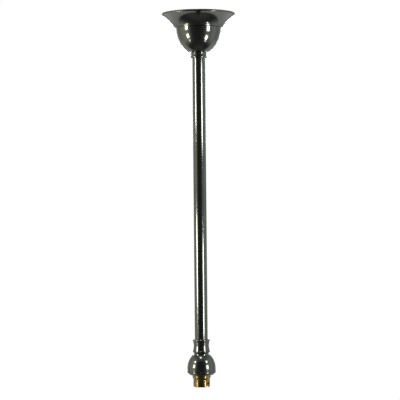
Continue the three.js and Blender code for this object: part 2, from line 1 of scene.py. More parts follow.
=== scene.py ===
# A rod pendant suspension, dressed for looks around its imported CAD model. Sizes inside the piece
# dictionaries are in millimetres; the axis is Z, the ceiling is at z = 0 and the front is -Y.
import json
import math
import bmesh
import bpy
import numpy as np
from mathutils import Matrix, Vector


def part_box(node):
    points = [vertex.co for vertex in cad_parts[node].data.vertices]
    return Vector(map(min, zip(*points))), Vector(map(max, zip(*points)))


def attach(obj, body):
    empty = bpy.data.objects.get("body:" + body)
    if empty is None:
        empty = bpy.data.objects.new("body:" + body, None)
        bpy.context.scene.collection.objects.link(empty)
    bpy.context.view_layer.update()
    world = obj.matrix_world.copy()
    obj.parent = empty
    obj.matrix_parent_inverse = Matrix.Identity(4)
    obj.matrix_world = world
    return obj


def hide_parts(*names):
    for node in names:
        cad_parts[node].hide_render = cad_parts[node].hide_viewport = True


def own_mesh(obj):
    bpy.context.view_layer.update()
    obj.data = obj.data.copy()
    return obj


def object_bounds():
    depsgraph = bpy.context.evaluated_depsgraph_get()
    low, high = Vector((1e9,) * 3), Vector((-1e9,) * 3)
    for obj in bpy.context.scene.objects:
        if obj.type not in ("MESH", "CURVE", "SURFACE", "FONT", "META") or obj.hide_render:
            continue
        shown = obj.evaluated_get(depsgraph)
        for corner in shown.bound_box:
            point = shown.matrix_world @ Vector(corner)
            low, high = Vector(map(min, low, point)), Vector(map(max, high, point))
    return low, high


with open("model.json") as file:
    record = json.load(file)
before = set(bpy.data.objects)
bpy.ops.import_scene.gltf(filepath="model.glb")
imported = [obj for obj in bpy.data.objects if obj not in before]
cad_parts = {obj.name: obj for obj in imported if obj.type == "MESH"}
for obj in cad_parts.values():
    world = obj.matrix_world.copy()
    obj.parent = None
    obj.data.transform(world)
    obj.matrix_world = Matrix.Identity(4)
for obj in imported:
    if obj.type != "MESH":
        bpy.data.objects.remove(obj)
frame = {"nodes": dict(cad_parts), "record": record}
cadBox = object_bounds()
print("frame loaded:", len(frame["nodes"]), "nodes")

mm = 0.001
scene = bpy.context.scene
bodyOf = {node: body for body, nodes in frame["record"]["behaviour"]["bodies"].items() for node in nodes}


# lowest and highest corner of a CAD node, in mm
def boxOf(node):
    low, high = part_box(node)
    return np.array(low) / mm, np.array(high) / mm


def unit(vectors):
    return vectors / np.linalg.norm(vectors, axis=-1, keepdims=True)


# A stretch of an ellipse: (r + a cos t, z + b sin t), t in degrees from start to end.
def bow(r, z, a, b, start, end, count):
    t = np.radians(np.linspace(start, end, count + 1))
    return np.column_stack([r + a * np.cos(t), z + b * np.sin(t)])


# A quadratic curve pulled towards its middle point: (1-t)^2 p + 2t(1-t) q + t^2 s.
def pulled(first, middle, last, count):
    t = np.linspace(0, 1, count + 1)[:, None]
    return (1 - t) ** 2 * np.array(first) + 2 * t * (1 - t) * np.array(middle) + t * t * np.array(last)


# Rounds a closed outline. A corner (x, y, c) becomes the arc of radius c that touches both its edges:
# its centre lies on the bisector, c / sin(half the angle) from the corner.
def softened(corners, steps=5):
    rows = np.array(corners, float)
    point, radius = rows[:, :2], rows[:, 2:3]
    back = unit(np.roll(point, 1, 0) - point)
    ahead = unit(np.roll(point, -1, 0) - point)
    half = 0.5 * np.arccos(np.clip((back * ahead).sum(1, keepdims=True), -0.99999, 0.99999))
    bisector = back + ahead
    bisector /= np.maximum(np.linalg.norm(bisector, axis=1, keepdims=True), 1e-9)
    centre = point + bisector * radius / np.sin(half)
    first = point + back * radius / np.tan(half) - centre
    last = point + ahead * radius / np.tan(half) - centre
    turn = np.pi - 2 * half
    t = np.linspace(0, 1, steps + 1)[None, :]
    early, late = np.sin((1 - t) * turn) / np.sin(turn), np.sin(t * turn) / np.sin(turn)
    curve = centre[:, None] + early[..., None] * first[:, None] + late[..., None] * last[:, None]
    curve = curve.reshape(-1, 2)
    apart = np.linalg.norm(curve - np.roll(curve, 1, 0), axis=1) > 1e-5
    return curve[apart]


# The same line moved sideways by a wall thickness, each point along the normal of its neighbours' chord.
def inset(line, wall):
    along = unit(np.gradient(line, axis=0))
    return line + wall * np.column_stack([along[:, 1], -along[:, 0]])


# A centripetal spline through points, with the same number of steps in each span.
def spline(points, steps):
    p = np.array(points, float)
    p = np.vstack([2 * p[0] - p[1], p, 2 * p[-1] - p[-2]])
    d = np.sqrt(np.linalg.norm(np.diff(p, axis=0), axis=1))[:, None]
    p0, p1, p2, p3 = p[:-3], p[1:-2], p[2:-1], p[3:]
    d0, d1, d2 = d[:-2], d[1:-1], d[2:]
    m1 = d1 * ((p1 - p0) / d0 - (p2 - p0) / (d0 + d1) + (p2 - p1) / d1)
    m2 = d1 * ((p2 - p1) / d1 - (p3 - p1) / (d1 + d2) + (p3 - p2) / d2)
    t = np.linspace(0, 1, steps, endpoint=False)[None, :, None]
    p1, p2, m1, m2 = p1[:, None], p2[:, None], m1[:, None], m2[:, None]
    curve = p1 + m1 * t + (3 * (p2 - p1) - 2 * m1 - m2) * t**2 + (2 * (p1 - p2) + m1 + m2) * t**3
    return np.vstack([curve.reshape(-1, p.shape[1]), p[-2]])


# Unit vectors across and along an axis; the last one is the axis itself.
def axes(direction):
    w = unit(np.array(direction, float))
    u = unit(np.cross([0, 0, 1.0], w)) if abs(w[2]) < 0.99 else np.array([1.0, 0, 0])
    return np.array([u, np.cross(w, u), w])


def placed(points, at=(0, 0, 0), direction=(0, 0, 1)):
    return points @ axes(direction) + np.array(at, float)


# Marks the edges where two faces turn more than an angle as sharp, and shades the rest smooth.
def shadeByAngle(mesh, degrees):
    limit = math.radians(degrees)
    bm = bmesh.new()
    bm.from_mesh(mesh)
    for edge in bm.edges:
        edge.smooth = len(edge.link_faces) == 2 and edge.calc_face_angle(0) < limit
    for face in bm.faces:
        face.smooth = True
    bm.to_mesh(mesh)
    bm.free()


# Makes a clean object out of vertices in mm and faces: doubles merged, slivers gone, faces outwards.
def shell(name, points, faces, sharp=32, values=None):
    mesh = bpy.data.meshes.new(name)
    mesh.from_pydata((points * mm).tolist(), [], faces.tolist() if hasattr(faces, "tolist") else faces)
    for label, numbers in (values or {}).items():
        layer = mesh.attributes.new(label, "FLOAT", "POINT")
        layer.data.foreach_set("value", np.ravel(numbers).astype(np.float32))
    bm = bmesh.new()
    bm.from_mesh(mesh)
    bmesh.ops.remove_doubles(bm, verts=bm.verts, dist=2e-7)
    bmesh.ops.dissolve_degenerate(bm, edges=bm.edges, dist=1e-7)
    bmesh.ops.recalc_face_normals(bm, faces=bm.faces)
    bm.to_mesh(mesh)
    bm.free()
    shadeByAngle(mesh, sharp)
    piece = bpy.data.objects.new(name, mesh)
    scene.collection.objects.link(piece)
    return piece


# Faces of a grid of points (rows, columns): each cell joins to the next row and the next column.
def cells(rows, columns, closeRows, closeColumns):
    index = np.arange(rows * columns).reshape(rows, columns)
    down, across = np.roll(index, -1, 0), np.roll(index, -1, 1)
    both = np.roll(down, -1, 1)
    quads = np.stack([index, down, both, across], -1)
    quads = quads if closeRows else quads[:-1]
    return (quads if closeColumns else quads[:, :-1]).reshape(-1, 4)


# Adds a point close to each end of a long edge, so that shading stays straight along it.
def supported(outline, margin=0.3, shortest=1.2):
    ahead = np.roll(outline, -1, 0) - outline
    length = np.linalg.norm(ahead, axis=1)
    step = ahead / np.maximum(length, 1e-9)[:, None] * margin
    rows = np.stack([outline, outline + step, outline + ahead - step], 1)
    used = np.column_stack([np.ones(len(outline), bool), length > shortest, length > shortest])
    return rows[used]


# A closed outline (r, z) carried round an axis: (r cos t, r sin t, z), t over a full turn.
def turned(name, outline, segments=128, at=(0, 0, 0), direction=(0, 0, 1), sharp=32):
    outline = supported(np.asarray(outline, float))
    t = np.linspace(0, 2 * np.pi, segments, endpoint=False)
    r, z = outline[:, :1], outline[:, 1:2]
    grid = np.stack([r * np.cos(t), r * np.sin(t), z + 0 * t], -1)
    points = placed(grid.reshape(-1, 3), at, direction)
    return shell(name, points, cells(len(outline), segments, True, True), sharp)


# A closed outline of its own round shape carried up through levels: each level gives, for every point
# of the section, the radius limit and the height, so hexagons, star washers and threads share one form.
def stacked(name, section, levels, at=(0, 0, 0), direction=(0, 0, 1), sharp=25):
    reach = np.hypot(section[:, 0], section[:, 1])
    unit = section / reach[:, None]
    rows = []
    for limit, height in levels:
        radius = np.minimum(reach, limit) if limit is not None else reach
        z = height(reach) if callable(height) else height + 0 * reach
        rows.append(np.column_stack([unit * radius[:, None], z]))
    grid = np.stack(rows)
    faces = cells(len(levels), len(section), True, True)
    return shell(name, placed(grid.reshape(-1, 3), at, direction), faces, sharp)


# Two copies of a flat outline, a step apart, joined by their sides and closed at both ends.
def carried(name, outline, step):
    n = len(outline)
    sides = [[i, (i + 1) % n, n + (i + 1) % n, n + i] for i in range(n)]
    points = np.vstack([outline, outline + np.array(step)])
    return shell(name, points, [list(range(n)), list(range(n, 2 * n)), *sides])


# A flat closed outline (x, z) carried along Y from y0 to y1.
def prism(name, outline, y0, y1):
    front = np.column_stack([outline[:, 0], np.full(len(outline), y0), outline[:, 1]])
    return carried(name, front, (0, y1 - y0, 0))


# The same with a plan outline (x, y) carried up from z0 to z1, placed along any direction.
def plate(name, outline, z0, z1, at=(0, 0, 0), direction=(0, 0, 1)):
    low = placed(np.column_stack([outline, np.full(len(outline), z0)]), at, direction)
    return carried(name, low, (z1 - z0) * axes(direction)[2])


# A plain round pin between two heights, for cutting.
def pin(name, r, z0, z1, segments=32, at=(0, 0, 0), direction=(0, 0, 1)):
    return turned(name, np.array([[0, z0], [r, z0], [r, z1], [0, z1]]), segments, at, direction)


# A sleeve's outline: bore and radius between two heights, each wall with its own corners.
def sleeveOutline(bore, r, z0, z1, inner, outer):
    return softened([(bore, z1, inner), (r, z1, outer), (r, z0, outer), (bore, z0, inner)])


# The corners of a rectangle, each with its rounding.
def rectangle(x, y, corner=0):
    return np.array([(-x, -y, corner), (x, -y, corner), (x, y, corner), (-x, y, corner)])


# A round section carried along a path: path + r (side cos a + up sin a), with up = along x side. Both
# ends shrink to a point through a small dome.
def swept(name, path, side, radius, sides=14):
    along = unit(np.gradient(path, axis=0))
    side = unit(side - (side * along).sum(1, keepdims=True) * along)
    up = np.cross(along, side)
    a = np.linspace(0, 2 * np.pi, sides, endpoint=False)
    ring = side[:, None] * np.cos(a)[None, :, None] + up[:, None] * np.sin(a)[None, :, None]
    order = np.r_[0, 0, 0:len(path), -1, -1]
    size, push = np.full(len(order), radius), np.zeros(len(order))
    size[[0, 1, -2, -1]] = 0, 0.75 * radius, 0.75 * radius, 0
    push[[0, 1, -2, -1]] = -0.3 * radius, -0.2 * radius, 0.2 * radius, 0.3 * radius
    centre = path[order] + along[order] * push[:, None]
    points = centre[:, None] + ring[order] * size[:, None, None]
    length = np.r_[0, np.cumsum(np.linalg.norm(np.diff(path, axis=0), axis=1))][order]
    values = {
        "around": np.tile(np.cos(a), (len(order), 1)),
        "aside": np.tile(np.sin(a), (len(order), 1)),
        "length": np.tile(length[:, None], (1, sides)),
    }
    return shell(name, points.reshape(-1, 3), cells(len(order), sides, False, True), 60, values)


# Takes the modified shape as the piece's own mesh.
def takeShape(piece):
    done = bpy.data.meshes.new_from_object(piece.evaluated_get(bpy.context.evaluated_depsgraph_get()))
    done.name = piece.name
    piece.modifiers.clear()
    piece.data = done
    return piece


def settle(piece, sharp=32):
    takeShape(piece)
    shadeByAngle(piece.data, sharp)
    return piece


def carve(piece, tools, operation="DIFFERENCE", sharp=32):
    for tool in tools:
        step = piece.modifiers.new(tool.name, "BOOLEAN")
        step.operation, step.solver, step.object = operation, "EXACT", tool
    settle(piece, sharp)
    for tool in tools:
        bpy.data.objects.remove(tool)
    return piece


# Rounds every edge sharper than an angle.
def eased(piece, width, degrees=35, segments=2):
    step = piece.modifiers.new("easedEdges", "BEVEL")
    step.width, step.segments, step.limit_method = width * mm, segments, "ANGLE"
    step.angle_limit = math.radians(degrees)
    step.use_clamp_overlap = True
    settle(piece, 40)
    step = piece.modifiers.new("flatShading", "WEIGHTED_NORMAL")
    step.keep_sharp = True
    return takeShape(piece)


# nut_above becomes nutAbove.
def pieceName(cadNode):
    first, *others = cadNode.split("_")
    return first + "".join(word.capitalize() for word in others)


# The piece stands for its CAD node: it rides on the node's body and takes its finish.
def handOver(piece, cadNode, look):
    piece.data.materials.clear()
    piece.data.materials.append(finish[look])
    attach(piece, bodyOf[cadNode])
    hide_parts(cadNode)
    return piece


# Gives an input a number, a colour or a link.
def feed(tree, socket, value):
    if isinstance(value, bpy.types.NodeSocket):
        tree.links.new(value, socket)
    else:
        socket.default_value = (*value, 1) if socket.type == "RGBA" else value


# Feeds a node's inputs by name, with _ for a space, or by number, as in _0.
def give(tree, made, **values):
    for key, value in values.items():
        feed(tree, made.inputs[int(key[1:]) if key[0] == "_" else key.replace("_", " ")], value)


def node(tree, kind, settings=None, **values):
    made = tree.nodes.new(kind)
    for key, value in (settings or {}).items():
        setattr(made, key, value)
    give(tree, made, **values)
    return made


def newGroup(name, inputs, outputs):
    group = bpy.data.node_groups.new(name, "ShaderNodeTree")
    for label, value in inputs.items():
        group.interface.new_socket(label, in_out="INPUT", socket_type="NodeSocketFloat").default_value = value
    for label in outputs:
        group.interface.new_socket(label, in_out="OUTPUT", socket_type="NodeSocketFloat")
    return group, group.nodes.new("NodeGroupInput").outputs, group.nodes.new("NodeGroupOutput")


def arithmetic(tree, operation, *values, clamp=False):
    made = node(tree, "ShaderNodeMath", {"operation": operation, "use_clamp": clamp})
    for socket, value in zip(made.inputs, values):
        feed(tree, socket, value)
    return made.outputs[0]


def times(tree, first, second):
    return arithmetic(tree, "MULTIPLY", first, second)


def spreadOut(tree, value, low, high, outLow=0.0, outHigh=1.0):
    return node(tree, "ShaderNodeMapRange", {"interpolation_type": "SMOOTHSTEP"}, Value=value,
                From_Min=low, From_Max=high, To_Min=outLow, To_Max=outHigh).outputs[0]


def objectPlace(tree):
    return node(tree, "ShaderNodeTexCoord").outputs["Object"]


def noise(tree, place, scale, detail, **values):
    return node(tree, "ShaderNodeTexNoise", Vector=place, Scale=scale, Detail=detail, **values).outputs[0]


def blended(tree, factor, first, second):
    return node(tree, "ShaderNodeMix", {"data_type": "RGBA"}, _0=factor, _6=first, _7=second).outputs[2]


# Lines left by turning and polishing: noise that changes only with height and distance from the axis,
# or, lengthwise, with the angle round it.
def turningLines():
    group, given, out = newGroup("turningLines", {"Lines per mm": 4.0, "Lengthwise": 0.0}, ("Lines", "Broad"))
    x, y, z = node(group, "ShaderNodeSeparateXYZ", _0=objectPlace(group)).outputs
    radius = arithmetic(group, "SQRT", arithmetic(group, "ADD", times(group, x, x), times(group, y, y)))
    angle = arithmetic(group, "ARCTAN2", y, x)
    perMetre = times(group, given["Lines per mm"], 1000.0)
    across = node(group, "ShaderNodeCombineXYZ", _0=times(group, radius, perMetre),
                  _1=times(group, z, perMetre))
    drawn = times(group, times(group, angle, 0.01), perMetre)
    along = node(group, "ShaderNodeCombineXYZ", _0=drawn, _1=times(group, z, 3.0))
    pick = node(group, "ShaderNodeMix", {"data_type": "VECTOR"}, _0=given["Lengthwise"],
                _4=across.outputs[0], _5=along.outputs[0]).outputs[1]
    give(group, out, Lines=noise(group, pick, 1.0, 4.0, Roughness=0.7),
         Broad=noise(group, pick, 0.11, 2.0, Roughness=0.5))
    return group


# Marks of handling: soft smudges, a cloud of stains, hairline scratches and dust on upward faces.
def handling():
    group, given, out = newGroup("handling", {"Size mm": 12.0}, ("Smudge", "Stain", "Scratch", "Dust"))
    place = objectPlace(group)
    scale = arithmetic(group, "DIVIDE", 1000.0, given["Size mm"])
    smudge = noise(group, place, scale, 3.0, Roughness=0.55, Distortion=1.2)
    stain = noise(group, place, times(group, scale, 0.35), 6.0, Roughness=0.65)
    warp = node(group, "ShaderNodeMapping", Vector=place, Scale=(1.0, 1.0, 0.18), Rotation=(0.5, 0.3, 0.0))
    scratch = node(group, "ShaderNodeTexVoronoi", {"feature": "DISTANCE_TO_EDGE"}, Vector=warp.outputs[0],
                   Scale=times(group, scale, 0.8), Randomness=1.0)
    normal = node(group, "ShaderNodeNewGeometry").outputs["Normal"]
    upward = spreadOut(group, node(group, "ShaderNodeSeparateXYZ", _0=normal).outputs[2], 0.35, 0.95)
    give(group, out, Smudge=spreadOut(group, smudge, 0.42, 0.72), Stain=spreadOut(group, stain, 0.4, 0.75),
         Scratch=spreadOut(group, scratch.outputs[0], 0.012, 0.0),
         Dust=times(group, upward, spreadOut(group, stain, 0.3, 0.6)))
    return group


# Wear where the surface is convex over a short distance, broken up by noise, and painted shade: a second mask
# that darkens where the surface is concave.
def edgeWearAndCreaseShade():
    group, given, out = newGroup("edgeWearAndCreaseShade", {"Amount": 1.0}, ("Mask", "Recess"))
    pointed = node(group, "ShaderNodeNewGeometry").outputs["Pointiness"]
    broken = noise(group, objectPlace(group), 900.0, 3.0)
    worn = times(group, spreadOut(group, pointed, 0.53, 0.62), spreadOut(group, broken, 0.4, 0.6))
    mask = arithmetic(group, "MULTIPLY", worn, given["Amount"], clamp=True)
    # Painted shade: this second mask rises where the surface is concave, standing in for shade in creases.
    give(group, out, Mask=mask, Recess=spreadOut(group, pointed, 0.48, 0.42))
    return group


groups = {"turningLines": turningLines(), "handling": handling(), "edgeWearAndCreaseShade": edgeWearAndCreaseShade()}
print("shader groups built")


def newMaterial(name, **settings):
    made = bpy.data.materials.new(name)
    made.use_nodes = True
    shader = made.node_tree.nodes["Principled BSDF"]
    give(made.node_tree, shader, **settings)
    return made, made.node_tree, shader


def placeGroup(tree, name, **values):
    return node(tree, "ShaderNodeGroup", {"node_tree": groups[name]}, **values).outputs


# Every metal: two tones clouded by stains, bared or darkened edges, painted shade that darkens its concave
# creases, roughness from smudges and lines.
metals = {
    "darkNickel": {
        "tone": (0.138, 0.142, 0.126), "cloud": (0.118, 0.120, 0.110), "edge": (0.22, 0.205, 0.17),
        "recess": (0.05, 0.05, 0.045), "rough": 0.10, "smudge": 0.06, "lines": 0.02, "perMm": 5.0,
        "bump": 0.0006},
    "drawnNickel": {  # the tube, drawn lengthwise
        "tone": (0.138, 0.142, 0.126), "cloud": (0.120, 0.122, 0.112), "edge": (0.2, 0.19, 0.16),
        "recess": (0.06, 0.06, 0.055), "rough": 0.10, "smudge": 0.03, "lines": 0.03, "perMm": 4.0,
        "bump": 0.0002, "lengthwise": 1.0},
    "agedBrass": {
        "tone": (0.30, 0.215, 0.088), "cloud": (0.21, 0.140, 0.052), "edge": (0.52, 0.38, 0.17),
        "recess": (0.06, 0.034, 0.014), "rough": 0.10, "smudge": 0.09, "lines": 0.03, "perMm": 4.0,
        "bump": 0.0008},
    "zincSteel": {
        "tone": (0.58, 0.59, 0.60), "cloud": (0.44, 0.45, 0.45), "edge": (0.72, 0.73, 0.74),
        "recess": (0.16, 0.15, 0.14), "rough": 0.3, "smudge": 0.16, "lines": 0.06, "perMm": 2.5,
        "bump": 0.006},
    "springWire": {
        "tone": (0.34, 0.35, 0.36), "cloud": (0.26, 0.26, 0.26), "edge": (0.5, 0.5, 0.5),
        "recess": (0.08, 0.08, 0.08), "rough": 0.24, "smudge": 0.1, "lines": 0.05, "perMm": 6.0,
        "bump": 0.002},
}
marksSpec = {"metalSize": 11.0, "coatSize": 6.0, "wear": 0.8, "dustRough": 0.18, "scratchRough": 0.06,
             "coatSmudge": 0.14, "dustCover": 0.25, "dust": (0.42, 0.39, 0.34)}


def metal(name):
    spec, m = metals[name], marksSpec
    made, tree, shader = newMaterial(name, Metallic=1.0)
    marks = placeGroup(tree, "handling", Size_mm=m["metalSize"])
    wear = placeGroup(tree, "edgeWearAndCreaseShade", Amount=m["wear"])
    lines = placeGroup(tree, "turningLines", Lines_per_mm=spec["perMm"],
                       Lengthwise=spec.get("lengthwise", 0.0))
    colour = blended(tree, marks["Stain"], spec["tone"], spec["cloud"])
    colour = blended(tree, wear["Mask"], colour, spec["edge"])
    # Painted shade: concave creases and hollows are blended towards a near-black tone.
    colour = blended(tree, wear["Recess"], colour, spec["recess"])
    rough = arithmetic(tree, "MULTIPLY_ADD", marks["Smudge"], spec["smudge"], spec["rough"])
    rough = arithmetic(tree, "MULTIPLY_ADD", lines["Broad"], spec["lines"], rough)
    rough = arithmetic(tree, "MULTIPLY_ADD", marks["Dust"], m["dustRough"], rough)
    rough = arithmetic(tree, "MULTIPLY_ADD", marks["Scratch"], m["scratchRough"], rough, clamp=True)
    bump = node(tree, "ShaderNodeBump", Strength=0.35, Distance=spec["bump"] * mm, Height=lines["Lines"])
    give(tree, shader, Base_Color=colour, Roughness=rough, Normal=bump.outputs[0])
    return made


# Moulded and glazed bodies, and wire sleeves: a mottled tone, faint pits and dust on what faces up.
coats = {
    "glazedPorcelain": {"tone": (0.80, 0.77, 0.69), "cloud": (0.70, 0.65, 0.55), "rough": 0.12, "coat": 0.6},
    "milkyPlastic": {"tone": (0.78, 0.78, 0.74), "cloud": (0.70, 0.69, 0.63), "pit": 0.02},
    "brownSleeve": {"tone": (0.10, 0.042, 0.02), "cloud": (0.075, 0.032, 0.016)},
    "blueSleeve": {"tone": (0.03, 0.12, 0.38), "cloud": (0.025, 0.09, 0.30)},
    "earthSleeve": {"tone": (0.07, 0.30, 0.05), "cloud": (0.05, 0.23, 0.04), "stripe": (0.80, 0.62, 0.05)},
}


def coated(name):
    spec, m = {"rough": 0.42, "pit": 0.01, "coat": 0.0} | coats[name], marksSpec
    made, tree, shader = newMaterial(name, Metallic=0.0, Coat_Weight=spec["coat"], Coat_Roughness=0.05)
    marks = placeGroup(tree, "handling", Size_mm=m["coatSize"])
    colour = blended(tree, marks["Stain"], spec["tone"], spec["cloud"])
    if "stripe" in spec:  # two broad stripes that wind slowly round the wire
        around, aside, length = (node(tree, "ShaderNodeAttribute", {"attribute_name": label}).outputs["Fac"]
                                 for label in ("around", "aside", "length"))
        angle = arithmetic(tree, "ARCTAN2", aside, around)
        wound = arithmetic(tree, "ADD", angle, times(tree, length, 0.02))
        wave = arithmetic(tree, "COSINE", times(tree, wound, 2.0))
        colour = blended(tree, spreadOut(tree, wave, 0.05, 0.2), colour, spec["stripe"])
    colour = blended(tree, times(tree, marks["Dust"], m["dustCover"]), colour, m["dust"])
    rough = arithmetic(tree, "MULTIPLY_ADD", marks["Smudge"], m["coatSmudge"], spec["rough"])
    pits = noise(tree, objectPlace(tree), 1500.0, 2.0)
    bump = node(tree, "ShaderNodeBump", Strength=0.5, Distance=spec["pit"] * mm, Height=pits)
    give(tree, shader, Base_Color=colour, Roughness=rough, Normal=bump.outputs[0])
    return made


finish = {name: metal(name) for name in metals} | {name: coated(name) for name in coats}
print("materials built:", len(finish))


view = {"distance": 2.2, "lens": 133.8, "lean": 0.526}
cadLow, cadHigh = np.array(cadBox[0]) / mm, np.array(cadBox[1]) / mm
eye = bpy.data.cameras.new("camera")
eye.sensor_width, eye.lens, eye.clip_start, eye.clip_end = 36, view["lens"], 0.05, 50
camera = bpy.data.objects.new("camera", eye)
camera.location = (0, -view["distance"], (cadLow[2] + cadHigh[2]) / 2 * mm)
camera.rotation_euler = (math.pi / 2, math.radians(view["lean"]), 0)
scene.collection.objects.link(camera)
scene.camera = camera
scene.view_settings.view_transform = "Standard"


cupSpec = {"lip": 0.5, "band": 2.3, "turn": 0.7, "pull": (40.8, -10.2), "throat": 35.9, "throatZ": -20.7,
           "ledge": 0.35, "bowl": 33.5, "bowlTop": -18, "bowlDeep": 43.6, "foot": 15.6, "mouth": 10.3,
           "wall": 0.8}


# The bell: a rolled rim, a flare pulled in to a small round step, and a bowl that is part of a tall ellipse.
def ceilingCup():
    s, (low, high) = cupSpec, boxOf("ceiling_cup")
    rim = high[0]
    rolled = np.vstack([bow(rim - s["lip"], -s["lip"], s["lip"], s["lip"], 200, 0, 12),
                        bow(rim - s["turn"], -s["band"], s["turn"], s["turn"], 0, -50, 8)])
    flare = pulled((rim - 0.9, -3.1), s["pull"], (s["throat"], s["throatZ"]), 26)
    step = bow(s["throat"] - s["ledge"], s["throatZ"] - 0.1, s["ledge"], s["ledge"], 10, -75, 8)
    bowl = bow(0, s["bowlTop"], s["bowl"], s["bowlDeep"], -4.6, -61.2, 44)
    foot = pulled(bowl[-1], (s["foot"], low[2]), (s["foot"] - 2, low[2]), 6)[1:]
    mouth = np.array([[s["mouth"] + 0.8, low[2]], [s["mouth"] + 0.15, low[2]], [s["mouth"], low[2] + 0.15]])
    outer = np.vstack([flare, step, bowl, foot, mouth[:1]])
    inner = inset(outer, s["wall"])[3:-1][::-1]
    inner[:, 0] = np.maximum(inner[:, 0], s["mouth"])
    return turned("ceilingCup", np.vstack([rolled, outer, mouth[1:], inner]), 256)


slipSpec = {"radius": 11.5, "bead": 12, "bore": 9.9, "screwHole": 1.8, "screwZ": -61}


def slipCollar():
    s, (low, high) = slipSpec, boxOf("slip_collar")
    r, top, bottom = s["radius"], high[2], low[2]
    outline = softened([
        (s["bore"], top, 0.2), (r - 0.1, top, 0.5), (r, top - 1.2, 1), (r - 0.3, top - 3, 2),
        (r, bottom + 2.5, 0.5), (s["bead"], bottom + 2, 0.35), (s["bead"], bottom + 0.4, 0.5),
        (r - 0.3, bottom, 0.4), (s["bore"], bottom, 0.2)])
    hole = pin("screwHole", s["screwHole"], 8, 14, 40, (0, 0, s["screwZ"]), (0, 1, 0))
    return carve(turned("slipCollar", outline, 160), [hole])


def rodTube():
    low, high = boxOf("rod_tube")
    return turned("rodTube", sleeveOutline(8.5, high[0], low[2], high[2], 0.15, 0.3), 160)


collarSpec = {"topBead": (11, -483.5, 1.65), "lowBead": (11.3, -500, 1.45), "seat": -490, "thread": 6.8,
              "waist": [(11.85, -486), (11.5, -488.6), (11.15, -491.6), (11.5, -494.4), (11.95, -497.4)]}


# The turned collar: a round bead, a waist splined into a second swelling, a low bead and a groove.
def lowerCollar():
    s, (low, high) = collarSpec, boxOf("lower_collar")
    bore = 9.825
    topBead = bow(*s["topBead"][:2], s["topBead"][2], s["topBead"][2], 75, -45, 16)
    lowBead = bow(*s["lowBead"][:2], s["lowBead"][2], s["lowBead"][2], 50, -60, 14)
    neck = pulled(lowBead[-1], (10.35, -502.6), (10.9, low[2]), 8)
    outline = np.vstack([[[bore, high[2]]], topBead, spline(s["waist"], 6), lowBead, neck[1:],
                         [[s["thread"], low[2]], [s["thread"], s["seat"]], [bore, s["seat"]]]])
    return turned("lowerCollar", outline, 160)


domeSpec = {"radius": 20.95, "height": 25.6, "equator": -526, "full": 2.1, "thread": 6.8, "wall": 0.8}


# The spun cover: a flat crown, a slightly full ellipse, r = a (1 - (z / b)^n)^(1 / n), a side and a lip.
def domeCover():
    s, (low, high) = domeSpec, boxOf("dome_cover")
    share = np.sin(np.linspace(math.asin((high[2] - s["equator"]) / s["height"]), 0, 45))
    full = s["radius"] * (1 - share ** s["full"]) ** (1 / s["full"])
    quarter = np.column_stack([full, s["equator"] + s["height"] * share])
    crown = np.array([[s["thread"], high[2]]])
    side = np.array([[s["radius"], low[2] + 2.6]])
    lip = bow(high[0] - 0.6, low[2] + 1.15, 0.6, 1.15, 70, -90, 14)
    edge = np.array([[s["radius"] - s["wall"], low[2]]])
    outer = np.vstack([crown, quarter, side])
    return turned("domeCover", np.vstack([outer, lip, edge, inset(outer, s["wall"])[::-1]]), 224)


ringSpec = {"round": 3.2, "flat": 16, "bore": 13.75, "plug": 19.2}


def closingRing():
    s, (low, high) = ringSpec, boxOf("closing_ring")
    quarter = bow(s["flat"], high[2] - 1.2, s["round"], s["round"], 0, -90, 20)
    plug, bore, top, bottom = s["plug"], s["bore"], high[2], low[2]
    outline = np.vstack([[[bore, top], [plug - 0.2, top], [plug, top - 0.2]], quarter,
                         [[bore + 0.2, bottom], [bore, bottom + 0.2]]])
    return turned("closingRing", outline, 192)


handOver(rodTube(), "rod_tube", "drawnNickel")
handOver(ceilingCup(), "ceiling_cup", "darkNickel")
handOver(slipCollar(), "slip_collar", "darkNickel")
handOver(lowerCollar(), "lower_collar", "darkNickel")
handOver(domeCover(), "dome_cover", "darkNickel")
handOver(closingRing(), "closing_ring", "darkNickel")
print("plated shells built")


slotSpec = {"azimuth": -35.6, "width": 2.8, "reach": 4.9, "top": 7, "floor": 4.6, "hook": 3.2, "entry": -2.6}
barrelSpec = {"radius": 12.25, "band": 13.4, "bore": 11.5, "taper": -538.3}


# The J of a bayonet slot, u along the wall and v up from the barrel's open end.
def bayonetOutline():
    s = slotSpec
    half, hookU = s["width"] / 2, s["entry"] + s["reach"]
    hookR = (s["top"] - s["floor"]) / 2 + 0.1
    return softened([
        (s["entry"] + half, -2, 0), (s["entry"] + half, s["floor"], 0.4), (hookU - hookR, s["floor"], 0.4),
        (hookU - hookR, s["hook"], 1.1), (hookU + hookR, s["hook"], 1.1), (hookU + hookR, s["top"], 1.2),
        (s["entry"] - half, s["top"], 1.3), (s["entry"] - half, -2, 0)], 8)


def holderBarrel():
    s, (low, high) = barrelSpec, boxOf("holder_barrel")
    r, band, bore, taper, bottom, top = s["radius"], s["band"], s["bore"], s["taper"], low[2], high[2]
    outline = softened([
        (bore, top, 0.15), (band, top, 0.3), (band, taper, 0.5), (band - 0.3, taper - 0.7, 0.6),
        (r - 0.25, taper - 2.9, 0.8), (r, taper - 3.5, 0.5), (r, bottom + 1.1, 0.8), (r - 0.45, bottom, 0.2),
        (bore, bottom, 0.12)])
    barrel = turned("holderBarrel", outline, 192)
    cuts, flat = [], bayonetOutline()
    for turn in (0, 180):  # u runs along the tangent and v up
        a = math.radians(slotSpec["azimuth"] + turn)
        out, tangent = np.array([math.cos(a), math.sin(a), 0]), np.array([-math.sin(a), math.cos(a), 0])
        near = flat[:, :1] * tangent + flat[:, 1:] * [0, 0, 1.0] + [0, 0, bottom] + out * 7
        cuts.append(carried(f"slotCut{turn}", near, out * 10))
    return carve(barrel, cuts)


